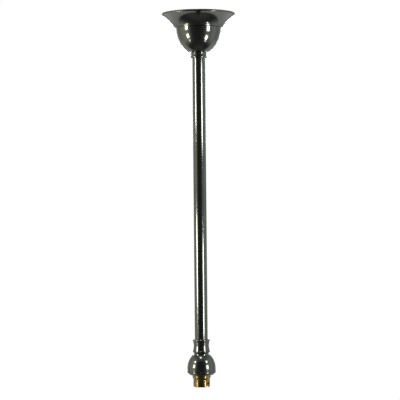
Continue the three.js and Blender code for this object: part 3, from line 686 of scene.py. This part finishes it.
tagTurn = math.radians(-20)
tagSpec = {"hole": 1.6, "at": (0, 0, -521.6), "way": (math.cos(tagTurn), math.sin(tagTurn), 0)}
capSpec = {"neck": 8.6, "neckEnd": -515, "skirt": 14.5, "skirtTop": -519, "wall": 0.8, "thread": 6.8}


def holderCap():
    s, (low, high) = capSpec, boxOf("holder_cap")
    rise = s["neckEnd"] - s["skirtTop"]
    shoulder = bow(s["neck"], s["skirtTop"], s["skirt"] - s["neck"], rise, 90, 0, 16)
    reach = s["skirt"] - s["wall"] - s["thread"]
    under = bow(s["thread"], s["skirtTop"] - s["wall"], reach, rise, 0, 90, 16)
    outline = np.vstack([[[s["thread"], high[2]], [s["neck"] - 0.3, high[2]], [s["neck"], high[2] - 0.3],
                          [s["neck"], s["neckEnd"] + 0.5]], shoulder,
                         [[s["skirt"], low[2]], [s["skirt"] - s["wall"], low[2]]], under])
    hole = pin("tagHole", tagSpec["hole"], 10, 18, 32, tagSpec["at"], tagSpec["way"])
    return carve(turned("holderCap", outline, 128), [hole])


contactSpec = {"azimuth": 70, "radius": 5.5, "nose": 1.75, "flange": 2.6, "spigot": 1.4}


def contactPoint(index):
    a = math.radians(contactSpec["azimuth"] + 180 * index)
    return contactSpec["radius"] * np.array([math.cos(a), math.sin(a), 0])


def insulatorCore():
    low, high = boxOf("insulator_core")
    r, flange, under = 11.2, high[0], -527
    body = turned("insulatorCore", softened([
        (0, low[2], 0), (r, low[2], 0.7), (r, under, 0.2), (flange, under, 0.4), (flange, high[2], 0.5),
        (0, high[2], 0)]), 128)
    tools = []
    for index in (0, 1):
        at = contactPoint(index)
        way = np.array([[0, -540], [2.5, -540], [2.05, -538.0], [2.05, -535], [0, -535]])
        tools += [pin(f"well{index}", 3, -536, -523, 40, at), turned(f"way{index}", way, 40, at)]
    return carve(body, tools)


def contactPlunger(index):
    s, (low, high) = contactSpec, boxOf(f"contact_plunger_{index + 1}")
    nose = bow(0, low[2] + s["nose"], s["nose"], s["nose"], -90, 0, 12)
    r, flange, spigot, top, z = s["nose"], s["flange"], s["spigot"], high[2], high[2] - 3.1
    rest = [[r, z - 0.1], [r + 0.1, z], [flange - 0.2, z], [flange, z + 0.2], [flange, z + 1.3],
            [flange - 0.2, z + 1.5], [spigot, z + 1.5], [spigot, top - 0.2], [spigot - 0.2, top], [0, top]]
    return turned(f"contactPlunger{index + 1}", np.vstack([nose, rest]), 48, contactPoint(index))


springSpec = {"coil": 2.1, "wire": 0.27, "bottom": -533.6, "top": -527.15, "turns": 6.5, "flat": 0.12,
              "closed": 0.09, "held": -527.1, "keep": 0.4615}


# A helix whose pitch closes up at both ends: z runs with t eased in over the end turns.
def contactSpring(index):
    s, centre = springSpec, contactPoint(index)
    t = np.linspace(0, 1, int(s["turns"] * 32) + 1)
    angle = 2 * np.pi * s["turns"] * t
    free = np.clip((t - s["flat"]) / (1 - 2 * s["flat"]), 0, 1)
    rise = s["closed"] * t + (1 - s["closed"]) * (0.75 * free + 0.25 * free * free * (3 - 2 * free))
    z = s["bottom"] + (s["top"] - s["bottom"]) * rise
    out = np.column_stack([np.cos(angle), np.sin(angle), 0 * angle])
    path = centre + out * s["coil"] + np.column_stack([0 * t, 0 * t, z])
    return swept(f"contactSpring{index + 1}", path, out, s["wire"], 10)


# Cuts a screwdriver slot of a width and depth into a screw's face.
def slotted(screw, reach, slot, face, way, at, direction):
    low, high = sorted((face - way, face + way * slot[1]))
    bar = rectangle(reach, slot[0] / 2)[:, :2]
    return carve(screw, [plate(screw.name + "Slot", bar, low, high, at, direction)])


# A pan-head screw along its own axis: a domed head with a slot and a ridged shank. Positions run from
# the head's face to the tip.
def slottedScrew(name, face, tip, shank, head, height, slot, at, direction, pitch=0.55):
    way = 1 if tip > face else -1
    span = abs(tip - face)
    ridges = max(int((span - height - 0.4) / pitch), 1)
    u = np.linspace(0, ridges, ridges * 4 + 1)
    root = shank - 0.16 * (0.5 + 0.5 * np.cos(2 * np.pi * u))
    thread = np.column_stack([root, height + 0.15 + u * pitch])
    dome = bow(0, height * 0.62, head, height * 0.62, 90, 8, 10) * [1, -1] + [0, 1.24 * height]
    crown = np.column_stack([dome[:, 0], dome[:, 1] - dome[0, 1]])
    under = [[head, height - 0.1], [head - 0.1, height], [shank - 0.16, height]]
    outline = np.vstack([crown, under, thread, [[shank * 0.75, span], [0, span]]])
    outline[:, 1] = face + way * outline[:, 1]
    screw = turned(name, outline, 40, at, direction)
    return slotted(screw, head + 1, slot, face, way, at, direction)


postSpec = {"plug": 2.7, "plugEnd": -526.5, "head": 3.3, "wire": 1.3, "shoulder": -524.2, "screwZ": -521.4}


def contactPost(index):
    s, (low, high), at = postSpec, boxOf(f"contact_post_{index + 1}"), contactPoint(index)
    post = turned(f"contactPost{index + 1}", softened([
        (0, s["plugEnd"], 0), (s["plug"], s["plugEnd"], 0.3), (s["plug"], s["shoulder"], 0),
        (s["head"], s["shoulder"], 0.25), (s["head"], high[2], 0.4), (0, high[2], 0)]), 56, at)
    wire, top = s["wire"], high[2]
    wireOutline = [[0, top - 4.6], [wire, top - 4.6], [wire, top - 0.3], [wire + 0.5, top + 0.2],
                   [0, top + 0.2]]
    wireHole = turned("wireHole", wireOutline, 32, at)
    out = unit(at)
    screwHole = pin("screwHole", 1.4, 5.5, 14, 32, (0, 0, s["screwZ"]), out)
    return carve(post, [wireHole, screwHole])


handOver(holderBarrel(), "holder_barrel", "agedBrass")
handOver(holderCap(), "holder_cap", "agedBrass")
for i in (0, 1):
    out = contactPoint(i) / contactSpec["radius"]
    handOver(contactPlunger(i), f"contact_plunger_{i + 1}", "agedBrass")
    handOver(contactPost(i), f"contact_post_{i + 1}", "agedBrass")
    spring = handOver(contactSpring(i), f"contact_spring_{i + 1}", "springWire")
    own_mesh(spring)
    at = (0, 0, postSpec["screwZ"])
    screw = slottedScrew(f"contactScrew{i + 1}", 10.7, 6.8, 1.1, 1.8, 1.3, (0.5, 0.75), at, out)
    handOver(screw, f"contact_screw_{i + 1}", "zincSteel")
handOver(insulatorCore(), "insulator_core", "glazedPorcelain")

tagPlace = (tagSpec["at"], tagSpec["way"])
earthScrew = slottedScrew("holderEarthScrew", 16.3, 12.0, 1.3, 2.2, 1.4, (0.55, 0.8), *tagPlace)
handOver(earthScrew, "holder_earth_screw", "zincSteel")
tagOutline = softened([(1.6, 12.3, 0.1), (2.6, 12.3, 0.2), (2.6, 13.1, 0.2), (1.6, 13.1, 0.1)])
handOver(turned("holderEarthTag", tagOutline, 48, *tagPlace), "holder_earth_tag", "agedBrass")
print("lampholder built")


strapSpec = {"thick": 2, "width": 22, "foot": 47, "leg": 24, "plate": -15, "bend": 2.2, "slotX": 36,
             "slotLong": 12, "slotWide": 5, "lugHalf": 16, "lugEnd": 27}


def strapBracket():
    s = strapSpec
    foot, leg, t, plateZ, bend = s["foot"], s["leg"], s["thick"], s["plate"], s["bend"]
    right = [(foot, 0, 0.2), (foot, -t, 0.2), (leg, -t, bend - 1.4), (leg, plateZ, bend)]
    left = [(-x, z, c) for x, z, c in right[::-1]]
    upperLeft = [(t - leg, 0, bend), (t - leg, plateZ + t, bend - 1.4)]
    upperRight = [(-x, z, c) for x, z, c in upperLeft[::-1]]
    outline = softened(right + left + upperLeft + upperRight, 6)
    strap = prism("strapBracket", outline, -s["width"] / 2, s["width"] / 2)
    lugPlan = softened([(-s["lugHalf"], 9, 0), (s["lugHalf"], 9, 0), (s["lugHalf"], s["lugEnd"], 2.5),
                        (-s["lugHalf"], s["lugEnd"], 2.5)], 8)
    carve(strap, [plate("lug", lugPlan, plateZ, plateZ + t)], "UNION")
    slotPlan = softened(rectangle(s["slotLong"] / 2, s["slotWide"] / 2, 2.49), 10)
    tools = [plate(f"footSlot{side}", slotPlan, -5, 5, (side * s["slotX"], 0, 0)) for side in (1, -1)]
    for label, x, y, r in (("rod", 0, 0, 6.8), ("block", 5, 19, 1.7), ("earth", 15.5, -5.5, 2.0)):
        tools.append(pin(label + "Hole", r, plateZ - 2, plateZ + t + 2, 64, (x, y, 0)))
    return eased(carve(strap, tools), 0.25)


# A hexagon with rounded corners, chamfered by a cone above and below, with a chamfered bore.
def hexNut(cadNode, flats=17, bore=6.8):
    low, high = boxOf(cadNode)
    z0, z1 = low[2], high[2]
    corner = flats / 2 / math.cos(math.pi / 6)
    angle = np.radians(np.arange(6) * 60)
    hexagon = softened(np.column_stack([corner * np.cos(angle), corner * np.sin(angle), np.full(6, 0.5)]), 4)
    ahead = np.roll(hexagon, -1, 0)
    hexagon = np.vstack([np.linspace(a, b, 10, endpoint=False) for a, b in zip(hexagon, ahead)])
    flatR, drop = flats / 2 - 0.15, math.tan(math.radians(30))
    down = lambda reach: z0 + np.maximum(reach - flatR, 0) * drop
    up = lambda reach: z1 - np.maximum(reach - flatR, 0) * drop
    levels = [(bore, z0 + 0.5), (bore + 0.5, z0), (flatR, z0), (None, down), (None, up), (flatR, z1),
              (bore + 0.5, z1), (bore, z1 - 0.5)]
    return eased(stacked(pieceName(cadNode), hexagon, levels), 0.08, 30)


# A threaded pipe: radius = crest - depth * triangle wave of (z / pitch - turn), stepped down to the root at
# both ends and chamfered into the bore.
def threadedRod(cadNode, pitch=1.0, depth=0.5, bore=4.6, perTurn=56, perPitch=6):
    low, high = boxOf(cadNode)
    z0, z1, crest = low[2], high[2], high[0]
    rows = int((z1 - z0) / pitch * perPitch)
    z = np.linspace(z0 + 0.35, z1 - 0.35, rows)[:, None]
    t = np.linspace(0, 2 * np.pi, perTurn, endpoint=False)[None, :]
    wave = np.abs((z / pitch - t / (2 * np.pi)) % 1 * 2 - 1)
    radius = crest - depth * wave
    root = crest - depth
    lowEnd = [(bore, z0 + 0.3), (bore + 0.3, z0), (root, z0)]
    highEnd = [(root, z1), (bore + 0.3, z1), (bore, z1 - 0.3)]
    r = np.vstack([*(a + 0 * t for a, b in lowEnd), radius, *(a + 0 * t for a, b in highEnd)])
    h = np.vstack([*(b + 0 * t for a, b in lowEnd), z + 0 * t, *(b + 0 * t for a, b in highEnd)])
    grid = np.stack([r * np.cos(t), r * np.sin(t), h], -1)
    return shell(pieceName(cadNode), grid.reshape(-1, 3), cells(*r.shape, True, True), 40)


# A washer whose outer teeth are twisted: the height swings with the tooth angle towards the rim.
def starWasher():
    low, high = boxOf("star_washer")
    middle, t = (low[2] + high[2]) / 2, np.linspace(0, 2 * np.pi, 288, endpoint=False)
    tooth = np.clip(1.6 * np.cos(12 * t), -1, 1)
    outer = 9.25 + 0.5 * tooth
    rows, upper = [], [(6.8, 0.18, 0), (7.9, 0.2, 0), (outer, 0.16, 0.12)]
    for r, half, swing in upper + [(r, -half, swing) for r, half, swing in upper[::-1]]:
        z = middle + half + swing * np.sin(12 * t) * np.ones_like(t)
        rows.append(np.column_stack([r * np.cos(t), r * np.sin(t), z]))
    return shell("starWasher", np.stack(rows).reshape(-1, 3), cells(6, len(t), True, True), 40)


def tubeTopBush():
    low, high = boxOf("tube_top_bush")
    bore, body, rim, top, bottom, under = 6.8, 8.2, high[0], high[2], low[2], high[2] - 1.7
    return turned("tubeTopBush", softened([
        (bore, top, 0.3), (rim, top, 0.4), (rim, under, 0.15), (body, under, 0.1), (body, bottom, 0.3),
        (bore, bottom, 0.3)]), 112)


def tubeBottomBush():
    low, high = boxOf("tube_bottom_bush")
    return turned("tubeBottomBush", sleeveOutline(6.8, high[0], low[2], high[2], 0.3, 0.3), 112)


blockSpec = {"pitch": 10, "wayZ": -21.3, "well": 1.6, "insert": 2.3, "clampY": (15.8, 22.2)}


# The terminal block: a notched body, rounded ribs between the ways, and its bores and screw wells.
def terminalBlock():
    s, (low, high) = blockSpec, boxOf("terminal_block")
    half, top, bottom, notch = high[0], high[2], low[2], 0.9
    corners = [(-half, top, 0.4), (-half, bottom, 1.0)]
    for x in (-s["pitch"] / 2, s["pitch"] / 2):
        corners += [(x - notch, bottom, 0.5), (x - notch, bottom + 2.5, 0.3), (x + notch, bottom + 2.5, 0.3),
                    (x + notch, bottom, 0.5)]
    corners += [(half, bottom, 1.0), (half, top, 0.4)]
    block = prism("terminalBlock", softened(corners, 4), low[1], high[1])
    tools = [pin("blockHole", 1.7, bottom - 1, top + 1, 32, (5, 19, 0)),
             pin("blockWell", 3, bottom - 1, bottom + 4.6, 40, (5, 19, 0))]
    for x in (-s["pitch"], 0, s["pitch"]):
        tools.append(pin(f"bore{x}", 2.6, low[1] - 1, high[1] + 1, 40, (x, 0, s["wayZ"]), (0, 1, 0)))
        tools += [pin(f"well{x}{y}", s["well"], bottom - 1, s["wayZ"], 32, (x, y, 0)) for y in s["clampY"]]
    return eased(carve(block, tools), 0.15, 40)


def wayInsert(way):
    s, (low, high) = blockSpec, boxOf(f"way_insert_{way + 1}")
    x, r = (way - 1) * s["pitch"], s["insert"]
    outline = sleeveOutline(1.3, r, low[1], high[1], 0.25, 0.25)
    sleeve = turned(f"wayInsert{way + 1}", outline, 48, (x, 0, s["wayZ"]), (0, 1, 0))
    return carve(sleeve, [pin(f"tap{y}", s["well"], -28, s["wayZ"], 32, (x, y, 0)) for y in s["clampY"]])


# A headless screw: a ridged shank with a chamfered, slotted end.
def grubScrew(name, radius, face, tip, slot, at, direction):
    way = 1 if tip > face else -1
    span = abs(tip - face)
    u = np.linspace(0, int((span - 0.7) / 0.5), int((span - 0.7) / 0.5) * 4 + 1)
    ridge = np.column_stack([radius - 0.14 * (0.5 - 0.5 * np.cos(2 * np.pi * u)), 0.3 + u * 0.5])
    end = [[0, 0], [radius - 0.25, 0], [radius, 0.25]]
    outline = np.vstack([end, ridge, [[radius - 0.3, span], [0, span]]])
    outline[:, 1] = face + way * outline[:, 1]
    return slotted(turned(name, outline, 40, at, direction), 4, slot, face, way, at, direction)


earthAt, blockAt, upwards = (15.5, -5.5, 0), (5, 19, 0), (0, 0, 1)
handOver(strapBracket(), "ceiling_bracket", "zincSteel")
handOver(starWasher(), "star_washer", "zincSteel")
for cadNode in ("top_nipple", "lower_nipple"):
    handOver(threadedRod(cadNode), cadNode, "agedBrass")
for cadNode in ("nut_above", "nut_below", "rod_lock_nut", "cover_nut"):
    handOver(hexNut(cadNode), cadNode, "agedBrass")
handOver(tubeTopBush(), "tube_top_bush", "agedBrass")
handOver(tubeBottomBush(), "tube_bottom_bush", "agedBrass")
handOver(terminalBlock(), "terminal_block", "milkyPlastic")
blockScrew = slottedScrew("blockScrew", -25.1, -11.5, 1.4, 2.6, 1.9, (0.6, 1.1), blockAt, upwards)
handOver(blockScrew, "block_screw", "zincSteel")
earthScrew = slottedScrew("bracketEarthScrew", -18.3, -11, 1.7, 3.4, 2.2, (0.8, 1.3), earthAt, upwards)
handOver(earthScrew, "bracket_earth_screw", "agedBrass")
washer = softened([(2.0, -16, 0.15), (4.2, -16, 0.35), (4.2, -15.2, 0.2), (2.0, -15.2, 0.15)])
handOver(turned("earthWasher", washer, 64, earthAt), "earth_washer", "agedBrass")
setScrew = grubScrew("collarSetScrew", 1.5, 11.6, 9.675, (0.5, 0.5), (0, 0, slipSpec["screwZ"]), (0, 1, 0))
handOver(setScrew, "collar_set_screw", "zincSteel")
for way in (0, 1, 2):
    handOver(wayInsert(way), f"way_insert_{way + 1}", "agedBrass")
    for row, y in enumerate(blockSpec["clampY"]):
        cadNode, at = f"clamp_screw_{way + 1}_{row + 1}", ((way - 1) * blockSpec["pitch"], y, 0)
        screw = grubScrew(pieceName(cadNode), 1.3, -26.7, -22.7, (0.5, 0.6), at, upwards)
        handOver(screw, cadNode, "zincSteel")
print("ceiling hardware built")


wireSpec = {
    "radius": 1.0, "steps": 12,
    "live": {"look": "brownSleeve", "endX": -10, "bore": (-2.2, -0.9),
             "low": [(-1.88, -5.17, -522), (-1.88, -5.17, -519.4), (-1.93, -4.5, -517.3), (-2, -2.5, -515),
                     (-2.15, -1.7, -512), (-2.2, -1, -508)]},
    "neutral": {"look": "blueSleeve", "endX": 0, "bore": (0, 2),
                "low": [(1.88, 5.17, -522), (1.88, 5.17, -519.4), (1.5, 4.6, -517.3), (0.75, 3.1, -515),
                        (0.25, 2.4, -512), (0, 2.05, -508)]},
    "earth": {"look": "earthSleeve", "endX": 10, "bore": (2.2, -0.9),
              "low": [(10.1, -3.7, -522.6), (9.6, -3.5, -520.8), (7.6, -2.8, -518.6), (4.9, -1.85, -517),
                      (3, -1.2, -515), (2.45, -1, -512), (2.2, -0.9, -508)]},
}


# The route up the tube, out of the nipple, over the lug, round its end and into the terminal block.
def wireRoute(spec):
    (x, y), endX = spec["bore"], spec["endX"]
    swing = lambda share: x + (endX - x) * share
    inTube = [(x, y, z) for z in (-500, -340, -180, -60, -30, -10)]
    over = [(swing(0.04), y + 1.2, -6.6), (swing(0.2), y + 4.4, -5), (swing(0.6), 13, -5.4),
            (swing(0.95), 21, -6.2)]
    a = np.radians([60, 20, -20, -60])
    turn = np.column_stack([np.full(4, endX), 26 + 7.4 * np.cos(a), -13.9 + 7.4 * np.sin(a)])
    return np.vstack([spec["low"], inTube, over, turn, [(endX, deep, -21.3) for deep in (25.5, 23, 20.5)]])


for label in ("live", "neutral", "earth"):
    spec = wireSpec[label]
    path = spline(wireRoute(spec), wireSpec["steps"])
    side = np.tile([1.0, 0, 0], (len(path), 1))
    handOver(swept(label + "Wire", path, side, wireSpec["radius"]), label + "_wire", spec["look"])
print("wires built")


# Softboxes stand round the object. Each row gives the azimuth from the camera's side (positive to the
# right), the distance from the axis, the height of its middle, its width, its height, its brightness and
# the height on the axis that it faces, where that isn't its own.
softboxes = {
    "upperLeft": (-63.5, 0.75, -0.060, 0.17, 0.135, 18),
    "lowerLeft": (-63.5, 0.75, -0.396, 0.18, 0.180, 18),
    "upperRight": (51.0, 0.60, -0.098, 0.14, 0.150, 18),
    "lowerRight": (50.0, 0.60, -0.441, 0.14, 0.180, 18),
    "leftGlow": (-64, 0.75, -0.677, 0.12, 0.10, 9),
    "rightGlow": (52, 0.60, -0.655, 0.10, 0.09, 12),
    "overhead": (-18, 0.42, 0.75, 0.22, 0.22, 16, -0.4),
    "rear": (180, 1.30, 0.10, 0.40, 0.50, 7, -0.25),
}
for label, (azimuth, away, z, wide, tall, bright, *aim) in softboxes.items():
    lamp = bpy.data.lights.new(label, "AREA")
    lamp.shape, lamp.size, lamp.size_y = "RECTANGLE", wide, tall
    lamp.energy = bright * math.pi * wide * tall
    holder = bpy.data.objects.new(label, lamp)
    a = math.radians(azimuth)
    drop = z - aim[0] if aim else 0
    holder.location = (away * math.sin(a), -away * math.cos(a), z)
    holder.rotation_euler = (math.pi / 2 - math.atan2(drop, away), 0, a)
    holder.visible_camera = False
    scene.collection.objects.link(holder)

# The room: white to the eye. In reflections its walls follow the azimuth (degrees, brightness, tint),
# fade out high up and towards a dark table in front, and stay bright low down at the back.
greenish, plain, bluish = (1.02, 1.02, 0.84), (0.97, 1.01, 0.97), (0.93, 1.02, 1.02)
walls = [
    (-180, 0.33, plain), (-160, 0.50, bluish), (-145, 0.64, bluish), (-128, 0.57, greenish),
    (-112, 0.66, greenish), (-98, 0.88, greenish), (-80, 0.95, greenish), (-62, 0.78, greenish),
    (-50, 0.42, greenish), (-40, 0.14, plain), (-28, 0.09, plain), (-12, 0.065, plain),
    (12, 0.07, bluish), (28, 0.13, bluish), (40, 0.26, plain), (56, 0.48, plain), (72, 0.60, plain),
    (86, 0.82, bluish), (98, 0.80, bluish), (112, 0.60, bluish), (128, 0.49, bluish),
    (148, 0.57, bluish), (164, 0.45, plain), (180, 0.33, plain)]
heights = {"low": (-0.86, -0.46), "high": (0.55, 0.88), "floor": 0.09, "nadir": 0.16, "ceiling": 0.3,
           "back": 0.85, "rear": (0.27, 0.41)}

world = bpy.data.worlds.new("room")
scene.world = world
world.use_nodes = True
tree = world.node_tree
direction = node(tree, "ShaderNodeTexCoord").outputs["Generated"]
x, y, z = node(tree, "ShaderNodeSeparateXYZ", _0=direction).outputs
turn = arithmetic(tree, "ARCTAN2", x, times(tree, y, -1.0))
share = node(tree, "ShaderNodeMapRange", Value=turn, From_Min=-math.pi, From_Max=math.pi)
ring = node(tree, "ShaderNodeValToRGB", _0=share.outputs[0])
while len(ring.color_ramp.elements) < len(walls):
    ring.color_ramp.elements.new(0.5)
for stop, (azimuth, brightness, tint) in zip(ring.color_ramp.elements, walls):
    stop.position = azimuth / 360 + 0.5
    stop.color = (*(brightness * c for c in tint), 1)
table = blended(tree, spreadOut(tree, z, -0.97, -0.9), (heights["nadir"],) * 3, (heights["floor"],) * 3)
lower = blended(tree, spreadOut(tree, z, *heights["low"]), table, ring.outputs[0])
upper = blended(tree, spreadOut(tree, z, *heights["high"]), lower, (heights["ceiling"],) * 3)
behind = times(tree, spreadOut(tree, y, *heights["rear"]), spreadOut(tree, z, -0.25, -0.45))
glow = blended(tree, behind, upper, (heights["back"],) * 3)
seen = blended(tree, node(tree, "ShaderNodeLightPath").outputs["Is Camera Ray"], glow, (1.0, 1.0, 1.0))
give(tree, tree.nodes["Background"], Color=seen)

# A pale floor below the hanging piece; it thins out to the white room at its edge.
floorSpec = {"z": -0.75, "radius": 1.25, "fade": (0.8, 1.2)}
t = np.linspace(0, 2 * np.pi, 96, endpoint=False)
r = np.array([0.0, 0.4, 0.8, floorSpec["radius"]])[:, None]
disc = np.stack([r * np.cos(t), r * np.sin(t), floorSpec["z"] + 0 * r * t], -1) / mm
floor = shell("floor", disc.reshape(-1, 3), cells(4, 96, False, True))
pale, tree, shader = newMaterial("paleFloor", Base_Color=(0.92, 0.92, 0.91), Roughness=0.7,
                                 Emission_Color=(1, 1, 1), Emission_Strength=0.3)
flat = node(tree, "ShaderNodeMapping", Vector=objectPlace(tree), Scale=(1, 1, 0))
length = node(tree, "ShaderNodeVectorMath", {"operation": "LENGTH"}, _0=flat.outputs[0]).outputs["Value"]
give(tree, shader, Alpha=spreadOut(tree, length, *floorSpec["fade"], 1.0, 0.0))
floor.data.materials.append(pale)
floor.visible_glossy = False
print("studio built")
